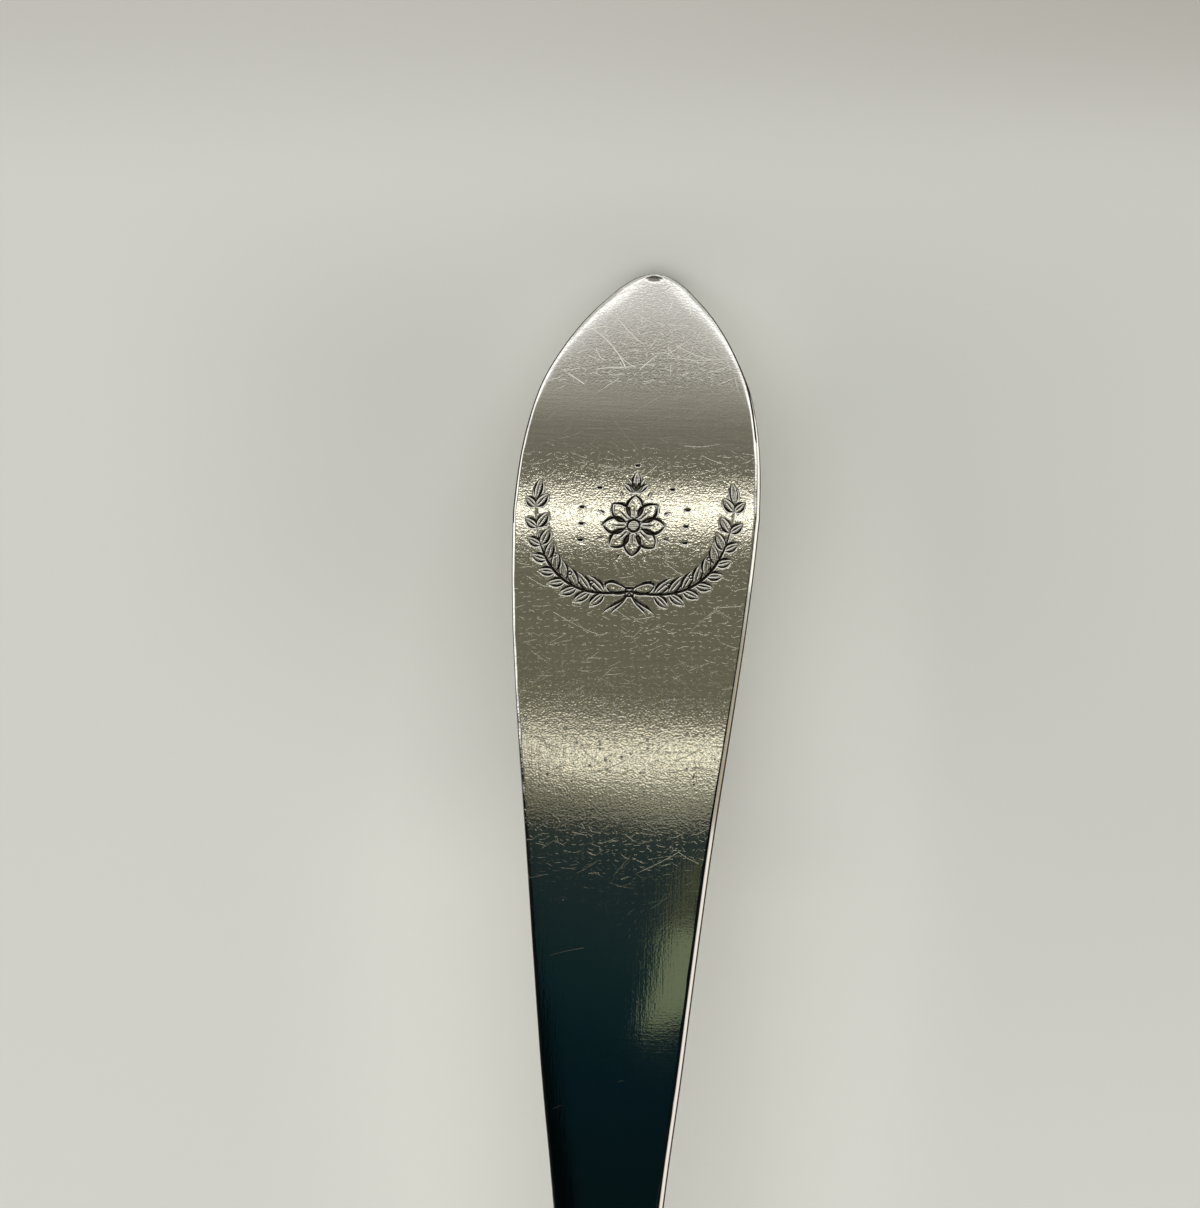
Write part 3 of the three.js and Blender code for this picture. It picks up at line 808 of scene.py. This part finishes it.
def pits(n, place_mm, x):
    """Small round dents in a few cells of a pattern: 1 in a dent, and how knocked the metal is there."""
    cells = n.add("ShaderNodeTexVoronoi", feature="F1")
    n.feed(cells.inputs["Vector"], place_mm)
    cells.inputs["Scale"].default_value = 1.5
    red, green, _ = n.add("ShaderNodeSeparateColor", cells.outputs["Color"]).outputs
    near_band = n.math("ABSOLUTE", n.math("SUBTRACT", x, SECOND_BAND_AT))
    knocked = n.ramp(near_band, *BAND_FADE, 1.0, KNOCKED)
    size = n.math("MULTIPLY", knocked, n.math("MULTIPLY_ADD", green, 0.07, 0.03))
    pit = n.ramp(cells.outputs["Distance"], size, n.math("MULTIPLY", size, 0.2))
    chosen = n.math("LESS_THAN", red, n.ramp(near_band, *BAND_FADE, 0.2, 1.0))
    return n.math("MULTIPLY", pit, chosen), knocked


# %% How worn the front is along the handle
def wear_along(n, x, tip, still):
    """The tip is knocked about most, the straight part least, and the ornament's ground is kept polished."""
    wear = n.math("MULTIPLY_ADD", tip, 2.5, n.ramp(x, *GROUND_STARTS, 1.3, 0.7))
    wear = n.math("MULTIPLY", wear, n.ramp(x, *DARK_PART_ENDS, 0.08, 1.0))
    return n.math("MULTIPLY", wear, n.math("MULTIPLY_ADD", still, -0.55, 1.0))


# %% The scratched relief, in units of the bump's distance
def scratched(n, x, y, place_mm, tip, still):
    """Hairlines, pits and long scratches as one height, with the pits and how knocked the metal is."""
    relief = None
    for k, (cell, half, chance, spread, depth) in enumerate(SCRATCHES):
        line = hairlines(n, x, y, cell, half, chance, spread, 2.37 + 1.91 * k)
        relief = n.math("MULTIPLY_ADD", line, -depth, relief or 0.0)
    pit, knocked = pits(n, place_mm, x)
    relief = n.math("SUBTRACT", relief, n.math("MULTIPLY", n.math("MULTIPLY", pit, knocked), 1.5))
    relief = n.math("MULTIPLY", relief, wear_along(n, x, tip, still))
    for middle, turn, length, bow, half, depth in LONG_SCRATCHES:
        line = one_scratch(n, x, y, middle, turn, length, bow, half)
        relief = n.math("MULTIPLY_ADD", line, -depth, relief)
    return relief, pit, knocked


# %% The polished relief
def polished(n, x, place_mm, streaks, tip, still, relief):
    """The cloth's streaks, a grain across the spoon, tiny dents and a slow roll, added to the scratches."""
    grain = n.noise(n.vector("MULTIPLY", place_mm, (0.35, 5.0, 1.0)), 1.0, 1.0, 0.6)
    fine = n.noise(n.vector("MULTIPLY", place_mm, (6.5, 5.5, 1.0)), 1.0, 1.0, 0.5)
    rolling = n.noise(n.vector("MULTIPLY", place_mm, (2.8, 1.9, 1.0)), 1.0, 2.0, 0.65)
    calm = n.ramp(x, *DENTS_START, 0.25, 1.0)
    calm = n.math("MULTIPLY", calm, n.math("MULTIPLY_ADD", still, -0.65, 1.0))
    relief = n.math("ADD", relief, n.math("MULTIPLY", streaks, 0.3))
    relief = n.math("MULTIPLY_ADD", grain, n.ramp(x, *GRAIN_STARTS, 0.4, 0.9), relief)
    for dents, at_tip, elsewhere in ((fine, 1.6, 1.5), (rolling, 0.5, 1.2)):
        depth = n.math("MULTIPLY_ADD", tip, at_tip, n.math("MULTIPLY", calm, elsewhere))
        relief = n.math("MULTIPLY_ADD", dents, depth, relief)
    return relief


# %% The silver
BRIGHT, DULL, DIRT_AND_SHADE = (0.95, 0.93, 0.88, 1), (0.83, 0.815, 0.785, 1), (0.055, 0.045, 0.035, 1)
BUMP_DISTANCE = 0.004 * MM


def silver():
    """Polished and worn silver: colour, softness and fine relief."""
    material = bpy.data.materials.new("silver")
    material.use_nodes = True
    tree = material.node_tree
    n = Nodes(tree)
    shader = tree.nodes["Principled BSDF"]
    place_mm = n.add("ShaderNodeAttribute", attribute_name="flat_mm").outputs["Vector"]
    cut_and_edge_shade = n.add("ShaderNodeAttribute", attribute_name="cut_and_edge_shade").outputs["Fac"]
    x, y, _ = n.add("ShaderNodeSeparateXYZ", place_mm).outputs

    tip = n.ramp(x, *KNOCKED_TIP)
    # Between the tip and the first band the polish is almost untouched.
    still = n.math("MULTIPLY", n.ramp(x, *STILL_STARTS), n.ramp(x, *STILL_ENDS))
    scratches, pit, knocked = scratched(n, x, y, place_mm, tip, still)
    # Torn metal in the scratches scatters light, so they show pale even in the dark part.
    torn = n.math("MULTIPLY", scratches, n.ramp(x, *TORN_STARTS, -0.038, -0.45), clamp=True)

    # The knocked tip is duller between its fresh bright cuts, and the cloth's streaks are duller too.
    streaks = n.noise(n.vector("MULTIPLY", place_mm, (5.0, 0.16, 1.0)), 1.0, 2.0, 0.6)
    dull = n.math("MULTIPLY", tip, n.math("MULTIPLY_ADD", scratches, 0.7, 1.0, clamp=True))
    streak_tone = n.math("MULTIPLY", n.ramp(streaks, 0.35, 0.65, 0.0, 0.7), n.math("SUBTRACT", 1.0, tip))
    dull = n.math("ADD", dull, n.math("MULTIPLY", streak_tone, n.ramp(x, *STREAKS_START)))
    # Polish and dirt stay dark in the cuts and in the larger pits; the edge lines are painted shade with a
    # little tarnish.
    dirt = n.math("MULTIPLY", pit, n.ramp(knocked, 1.0, KNOCKED, 0.0, 0.7))
    dark = n.math("MAXIMUM", n.ramp(cut_and_edge_shade, 0.012, 0.06), dirt)
    n.feed(shader.inputs["Base Color"], n.blend(dark, n.blend(dull, BRIGHT, DULL), DIRT_AND_SHADE))

    bump = n.add("ShaderNodeBump")
    bump.inputs["Strength"].default_value = 1.0
    bump.inputs["Distance"].default_value = BUMP_DISTANCE
    n.feed(bump.inputs["Height"], polished(n, x, place_mm, streaks, tip, still, scratches))
    n.feed(shader.inputs["Normal"], bump.outputs[0])

    # Painted shade and tarnish on the edges don't shine like metal, not even seen along the surface.
    n.feed(shader.inputs["Metallic"], n.math("SUBTRACT", n.ramp(cut_and_edge_shade, 0.22, 0.14), torn, clamp=True))
    shader.inputs["Specular IOR Level"].default_value = 0.0
    patches = n.noise(place_mm, 0.16, 3.0, 0.55)
    rough = n.math("ADD", 0.06, n.math("MULTIPLY", n.math("SUBTRACT", patches, 0.5), 0.05))
    n.feed(shader.inputs["Roughness"], n.math("ADD", rough, n.math("MULTIPLY", dark, 0.2)))
    return material


spoon.data.materials.append(silver())
print("nodes in the silver:", len(spoon.active_material.node_tree.nodes))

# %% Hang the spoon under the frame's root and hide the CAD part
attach(spoon, "root")
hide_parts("spoon")

# %% [markdown]
# ## The table
#
# The spoon lies on a pale sheet whose colour carries painted light and painted shade: soft lighter
# patches of painted light that thin the spoon's own shadow, darker patches of painted shade round the
# wide end, and a painted shade that is darkest towards one corner. More lamps could shade it, but they
# would change the light on the spoon too. So the painted shades are in the sheet's own colour, as a
# few soft changes along, across and beside the spoon.


# %% The table
def plain(name, colour, strength=None):
    """A matt colour, or a glowing one if a strength is given."""
    material = bpy.data.materials.new(name)
    material.use_nodes = True
    tree = material.node_tree
    shader = tree.nodes["Principled BSDF"]
    if strength is None:
        shader.inputs["Base Color"].default_value = (*colour, 1)
        shader.inputs["Roughness"].default_value = 0.9
        shader.inputs["Specular IOR Level"].default_value = 0.1
    else:
        tree.nodes.remove(shader)
        glow = tree.nodes.new("ShaderNodeEmission")
        glow.inputs["Color"].default_value = (*colour, 1)
        glow.inputs["Strength"].default_value = strength
        tree.links.new(glow.outputs[0], tree.nodes["Material Output"].inputs["Surface"])
    return material


def sheet(name, centre, size, material, facing=(0, 0, -1)):
    """A flat rectangle in the scene, in metres, that isn't part of the spoon."""
    w, h = size[0] / 2, size[1] / 2
    card = bpy.data.meshes.new(name)
    card.from_pydata([(-w, -h, 0), (w, -h, 0), (w, h, 0), (-w, h, 0)], [], [(0, 1, 2, 3)])
    card.materials.append(material)
    thing = bpy.data.objects.new(name, card)
    thing.rotation_euler = Vector(facing).to_track_quat("Z", "Y").to_euler()
    thing.location = centre
    bpy.context.scene.collection.objects.link(thing)
    return thing


TABLE = (0.822, 0.819, 0.785)
# Painted light and painted shade: where the sheet is painted darker or lighter, its colour there, and
# how that comes in along x, across y or beside the spoon, from one place to another in metres.
PAINTED_LIGHT_AND_SHADE = [((0.774, 0.766, 0.733), ("y", 0.03, -0.05)),
          ((0.850, 0.842, 0.809), ("x", 0.050, 0.005)),
          ((0.915, 0.917, 0.876), ("x", 0.050, 0.036), ("y", -0.031, -0.010), ("y", 0.035, 0.010)),
          ((0.706, 0.714, 0.677), ("x", 0.044, 0.070), ("x", 0.100, 0.078), ("beside", 0.050, 0.018)),
          ((0.880, 0.882, 0.845), ("x", 0.080, 0.050), ("x", 0.036, 0.046), ("y", -0.003, -0.010),
           ("y", -0.027, -0.013)),
          ((0.765, 0.771, 0.733), ("x", 0.072, 0.082), ("x", 0.097, 0.090), ("beside", 0.016, 0.008)),
          ((0.685, 0.672, 0.636), ("x", 0.094, 0.113), ("x", 0.19, 0.125), ("beside", 0.17, 0.07)),
          ((0.575, 0.560, 0.520), ("x", 0.099, 0.114), ("y", 0.035, -0.060), ("x", 0.19, 0.125),
           ("y", -0.17, -0.07))]
FADE_FROM, FADE_TO = 0.25, 0.9


def table_with_painted_light():
    """A pale sheet with soft painted light and painted shade that fades away far off."""
    material = plain("table", TABLE)
    tree = material.node_tree
    n = Nodes(tree)
    place = n.add("ShaderNodeNewGeometry").outputs["Position"]
    x, y, _ = n.add("ShaderNodeSeparateXYZ", place).outputs
    ways = {"x": x, "y": y, "beside": n.math("ABSOLUTE", y)}
    colour = (*TABLE, 1)
    # Each tint is painted light or painted shade laid into the sheet's colour.
    for tint, *limits in PAINTED_LIGHT_AND_SHADE:
        share = 1.0
        for way, start, stop in limits:
            share = n.math("MULTIPLY", n.ramp(ways[way], start, stop), share)
        colour = n.blend(share, colour, (*tint, 1))
    shader = tree.nodes["Principled BSDF"]
    tree.links.new(colour, shader.inputs["Base Color"])
    # Far off, the camera sees the pale room instead, so the table has no hard far edge.
    reach = n.add("ShaderNodeVectorMath", place, operation="LENGTH").outputs["Value"]
    for_camera = n.add("ShaderNodeLightPath").outputs["Is Camera Ray"]
    gone = n.math("MULTIPLY", n.ramp(reach, FADE_FROM, FADE_TO), for_camera)
    clear = n.add("ShaderNodeBsdfTransparent").outputs[0]
    mixed = n.add("ShaderNodeMixShader", gone, shader.outputs[0], clear)
    tree.links.new(mixed.outputs[0], tree.nodes["Material Output"].inputs["Surface"])
    return material


sheet("table", (0, 0, 0), (8, 8), table_with_painted_light(), (0, 0, 1))
print("shades in the table:", len(PAINTED_LIGHT_AND_SHADE))


# %% [markdown]
# ## The light
#
# Polished silver shows the room more than itself, so the light is what draws the handle: a dim
# ceiling, two bright lamps beyond the handle's tip that make the two bands, the darkness round the
# camera that the straight part mirrors, and pale walls that the turned-down tip looks at. Real area
# lamps would have hard ends in the silver and would light the table as well. So one soft lamp gives
# the light, and what the silver mirrors are glowing cards with faded sides that only reflections see.

# %% The one lamp
def lamp(name, at, towards, size, strength, colour=(1, 1, 1)):
    """A soft rectangular lamp; strength is how bright its face looks."""
    data = bpy.data.lights.new(name, "AREA")
    data.shape = "RECTANGLE"
    data.size, data.size_y = size
    data.energy = strength * size[0] * size[1] * math.pi
    data.color = colour
    thing = bpy.data.objects.new(name, data)
    thing.location = at
    thing.rotation_euler = (Vector(at) - Vector(towards)).to_track_quat("Z", "Y").to_euler()
    bpy.context.scene.collection.objects.link(thing)
    return thing


fill = lamp("ceiling_fill", (0, 0.03, 1.5), (0, 0, 0), (2.6, 2.6), 0.985, (1.0, 1.0, 0.985))
fill.visible_glossy = False
print("power of the fill lamp:", round(fill.data.energy, 2))


# %% Where a point of the spoon looks, and colours in stops
def along_ray(start_mm, turn, side, reach):
    """A place in metres seen from a point of the spoon, turned from straight up to the tip and sideways."""
    turn, side = math.radians(turn), math.radians(side)
    ray = Vector((math.sin(turn) * math.cos(side), math.sin(side), math.cos(turn) * math.cos(side)))
    return Vector(start_mm) * MM + ray * reach


def graded(n, value, stops):
    """A colour that runs through stops of place and colour."""
    tone = n.add("ShaderNodeValToRGB", value)
    ramp = tone.color_ramp
    while len(ramp.elements) < len(stops):
        ramp.elements.new(0.5)
    for element, (at, _) in zip(ramp.elements, stops):
        element.position = at
    for element, (_, colour) in zip(ramp.elements, stops):
        element.color = (*colour, 1)
    return tone.outputs[0]


# %% A soft card that only reflections see
def soft_card(name, at, towards, size, colour, strength, soft=(0.5, 0.5), stops=None, spin=0.0):
    """A glowing card with faded sides, seen by reflections only. soft is the faded share of each half side,
    stops are colours from its low end to its high end, and spin turns it in its plane, in degrees."""
    card = sheet(name, at, size, plain(name, colour, strength), Vector(towards) - Vector(at))
    tree = card.active_material.node_tree
    n = Nodes(tree)
    x, y, _ = n.add("ShaderNodeSeparateXYZ", n.add("ShaderNodeTexCoord").outputs["Object"]).outputs
    shown = None
    for value, whole, fade in ((x, size[0], soft[0]), (y, size[1], soft[1])):
        near = n.math("ABSOLUTE", value)
        inside = n.ramp(near, whole / 2, whole / 2 * (1 - fade))
        shown = inside if shown is None else n.math("MULTIPLY", shown, inside)
    clear = n.add("ShaderNodeBsdfTransparent").outputs[0]
    out = tree.nodes["Material Output"].inputs["Surface"]
    glow = out.links[0].from_socket
    if stops:
        place = n.add("ShaderNodeNewGeometry").outputs["Position"]
        reach = n.add("ShaderNodeSeparateXYZ", place).outputs[0]
        share = n.math("MULTIPLY_ADD", reach, 1 / size[0], 0.5 - at[0] / size[0])
        n.feed(glow.node.inputs["Color"], graded(n, share, stops))
    if spin:
        spun = card.rotation_euler.to_quaternion() @ Quaternion((0, 0, 1), math.radians(spin))
        card.rotation_euler = spun.to_euler()
    mixed = n.add("ShaderNodeMixShader", shown, clear, glow)
    tree.links.new(mixed.outputs[0], out)
    card.visible_camera = card.visible_diffuse = card.visible_shadow = False
    return card


def card_towards(name, start_mm, turn, side, reach, size, colour, strength, soft=(0.5, 0.5), spin=0.0):
    """A soft card placed where a point of the spoon mirrors it; size is across and along, in degrees."""
    at = along_ray(start_mm, turn, side, reach)
    spans = [2 * reach * math.tan(math.radians(v / 2)) for v in size]
    return soft_card(name, at, Vector(start_mm) * MM, spans, colour, strength, soft, spin=spin)


# %% The two lamps beyond the tip
# Places on the front, in mm, that mirror the middle of each band.
BAND_AT, SECOND_AT = (69.1, 0, 10.6), (49.8, 0, 15.3)
LAMP_REACH = 0.60
card_towards("band_lamp", BAND_AT, 37.55, 5.0, LAMP_REACH, (18, 5.7), (1.0, 0.965, 0.80), 2.05, (0.6, 0.95))
card_towards("second_lamp", SECOND_AT, 13.97, 2.2, LAMP_REACH, (26, 5.3), (1.0, 0.965, 0.77), 1.16,
             (0.6, 0.9), 13.3)

# %% The dark round the camera
# Nearly black to the near end, teal and a little hazy towards the bands.
DEEP = [(0.0, (0.0018, 0.0060, 0.0072)), (0.34, (0.0018, 0.0070, 0.0088)), (0.51, (0.0019, 0.0090, 0.0125)),
        (0.612, (0.0030, 0.0125, 0.0160)), (0.687, (0.0050, 0.0165, 0.0185)),
        (0.78, (0.0082, 0.0195, 0.0210)), (0.856, (0.0105, 0.0212, 0.0222)),
        (0.90, (0.0125, 0.0235, 0.0240)), (0.94, (0.0160, 0.0275, 0.0262)), (1.0, (0.026, 0.036, 0.032))]
soft_card("teal_card", (-0.05, 0.009, 0.5), (-0.05, 0.009, 1), (0.346, 0.208), (1, 1, 1), 1.0,
          (0.047, 0.12), DEEP)

# %% The cards that look straight up
# Each one: name, middle, size, colour, strength and faded share of each half side.
LEVEL_CARDS = [
    ("black_card", (-0.19, 0.05, 0.52), (0.648, 0.60), (0.3, 0.8, 1.0), 0.002, (0.037, 0.2)),
    # Something pale green near the camera, mirrored low on the right, with a dark thing before it.
    ("olive_card", (0.070, 0.004, 0.496), (0.056, 0.062), (0.9, 1.0, 0.62), 0.066, (0.25, 0.15)),
    ("glint_card", (0.0175, -0.012, 0.49), (0.071, 0.096), (0.82, 1.0, 0.60), 0.155, (0.2, 0.14)),
    ("glint_shade", (0.071, 0.002, 0.484), (0.052, 0.038), (0.8, 1.0, 0.9), 0.006, (0.3, 0.3)),
    # By the straight part and by the wide end, whose right edges mirror them, a shaded one between.
    ("edge_card", (0.005, -0.033, 0.0004), (0.078, 0.052), (1.0, 0.95, 0.88), 0.88, (0.1, 0.1)),
    ("edge_shade", (0.051, -0.033, 0.0006), (0.02, 0.05), (1.0, 0.90, 0.68), 0.42, (0.3, 0.1)),
    ("wide_end_card", (0.077, -0.016, 0.0004), (0.030, 0.034), (1.0, 0.98, 0.88), 1.1, (0.1, 0.1))]
for name, at, size, colour, strength, soft in LEVEL_CARDS:
    soft_card(name, at, (*at[:2], 1), size, colour, strength, soft)
print("cards that look straight up:", len(LEVEL_CARDS))

# %% [markdown]
# ## The room
#
# Past the cards, the silver mirrors walls. A picture of a real room is the usual way, but then its
# windows sit where they sit. Here the walls are a colour that runs with height, so each height can
# be set to what the bend of the handle shows of it, and two dark sides draw the dark edge lines.

# %% The room
world = bpy.data.worlds.new("room")
bpy.context.scene.world = world
world.use_nodes = True
wn = Nodes(world.node_tree)
look = wn.add("ShaderNodeTexCoord").outputs["Generated"]
ahead, aside, height = wn.add("ShaderNodeSeparateXYZ", look).outputs
# Brightness of the walls by height: pale at the floor, brightest at window height, dim above.
WALLS = [(0.04, (0.60, 0.60, 0.575)), (0.12, (1.25, 1.25, 1.23)), (0.31, (1.3, 1.3, 1.28)),
         (0.40, (0.78, 0.77, 0.74)), (0.445, (0.61, 0.605, 0.57)), (0.50, (0.59, 0.58, 0.545)),
         (0.53, (0.57, 0.555, 0.52)), (0.574, (0.42, 0.405, 0.365)), (0.61, (0.345, 0.335, 0.292)),
         (0.64, (0.26, 0.252, 0.208)), (0.67, (0.18, 0.174, 0.138)), (0.72, (0.142, 0.136, 0.102)),
         (0.966, (0.130, 0.123, 0.084)), (0.980, (0.23, 0.228, 0.168)), (1.0, (0.23, 0.23, 0.170))]
walls = graded(wn, height, WALLS)

# %% Its dark sides
# To the left and right the room is dark above the floor's height, so the edges mirror a dark line.
# Behind the bowl it is pale again.
SIDE_DARK, CAMERA_SEES = (0.004, 0.005, 0.005, 1), (0.60, 0.60, 0.575, 1)
compass = wn.add("ShaderNodeCombineXYZ", ahead, aside).outputs[0]
level = wn.add("ShaderNodeVectorMath", compass, operation="NORMALIZE")
along_x, _, _ = wn.add("ShaderNodeSeparateXYZ", level.outputs[0]).outputs
ahead_left, ahead_right = wn.ramp(along_x, 0.10, 0.05), wn.ramp(along_x, 0.62, 0.50)
sides = wn.math("MAXIMUM", ahead_left, wn.math("MULTIPLY", ahead_right, wn.math("LESS_THAN", aside, 0.0)))
sides = wn.math("MULTIPLY", sides, wn.ramp(along_x, -0.62, -0.50))
sides = wn.math("MULTIPLY", sides, wn.ramp(height, 0.06, 0.16))
sides = wn.math("MULTIPLY", sides, wn.ramp(height, 0.99, 0.96))
for_camera = wn.add("ShaderNodeLightPath").outputs["Is Camera Ray"]
seen = wn.blend(for_camera, wn.blend(sides, walls, SIDE_DARK), CAMERA_SEES)
wn.feed(world.node_tree.nodes["Background"].inputs["Color"], seen)
print("heights with a colour:", len(WALLS))

# %% [markdown]
# ## The camera
#
# The picture looks almost straight down on the handle's end from about 40 cm, turned a little, so
# the handle stands upright in it and a sliver of its right side shows. A Track To constraint would
# aim the camera but can't turn the picture in its plane, so its three axes are worked out instead.

# %% Camera
REACH, SCALE, PHOTO_HEIGHT = 420.0, 12.505, 1208  # mm, pixels per mm at the spoon, and pixels
SENSOR = 36.0
LEAN_TO_TIP, LEAN_TO_RIGHT, ROLL = (math.radians(v) for v in (2.0, 7.31, 1.57))
view_from = Vector((math.tan(LEAN_TO_TIP), -math.tan(LEAN_TO_RIGHT), 1)).normalized()
target = Vector((61.85, 2.06, 15.0)) * MM
head = (Vector((1, 0, 0)) - view_from * view_from.x).normalized()
side = head.cross(view_from)
right_axis = math.cos(ROLL) * side + math.sin(ROLL) * head
up_axis = -math.sin(ROLL) * side + math.cos(ROLL) * head
camera_data = bpy.data.cameras.new("camera")
camera_data.sensor_width = SENSOR
camera_data.lens = SENSOR * SCALE * REACH / PHOTO_HEIGHT
camera = bpy.data.objects.new("camera", camera_data)
camera.matrix_world = Matrix((right_axis, up_axis, view_from)).transposed().to_4x4()
camera.location = target + view_from * REACH * MM
camera_data.clip_start = 0.01
bpy.context.scene.collection.objects.link(camera)
bpy.context.scene.camera = camera
bpy.context.scene.view_settings.view_transform = "Standard"
print("lens:", round(camera_data.lens, 1), "mm")
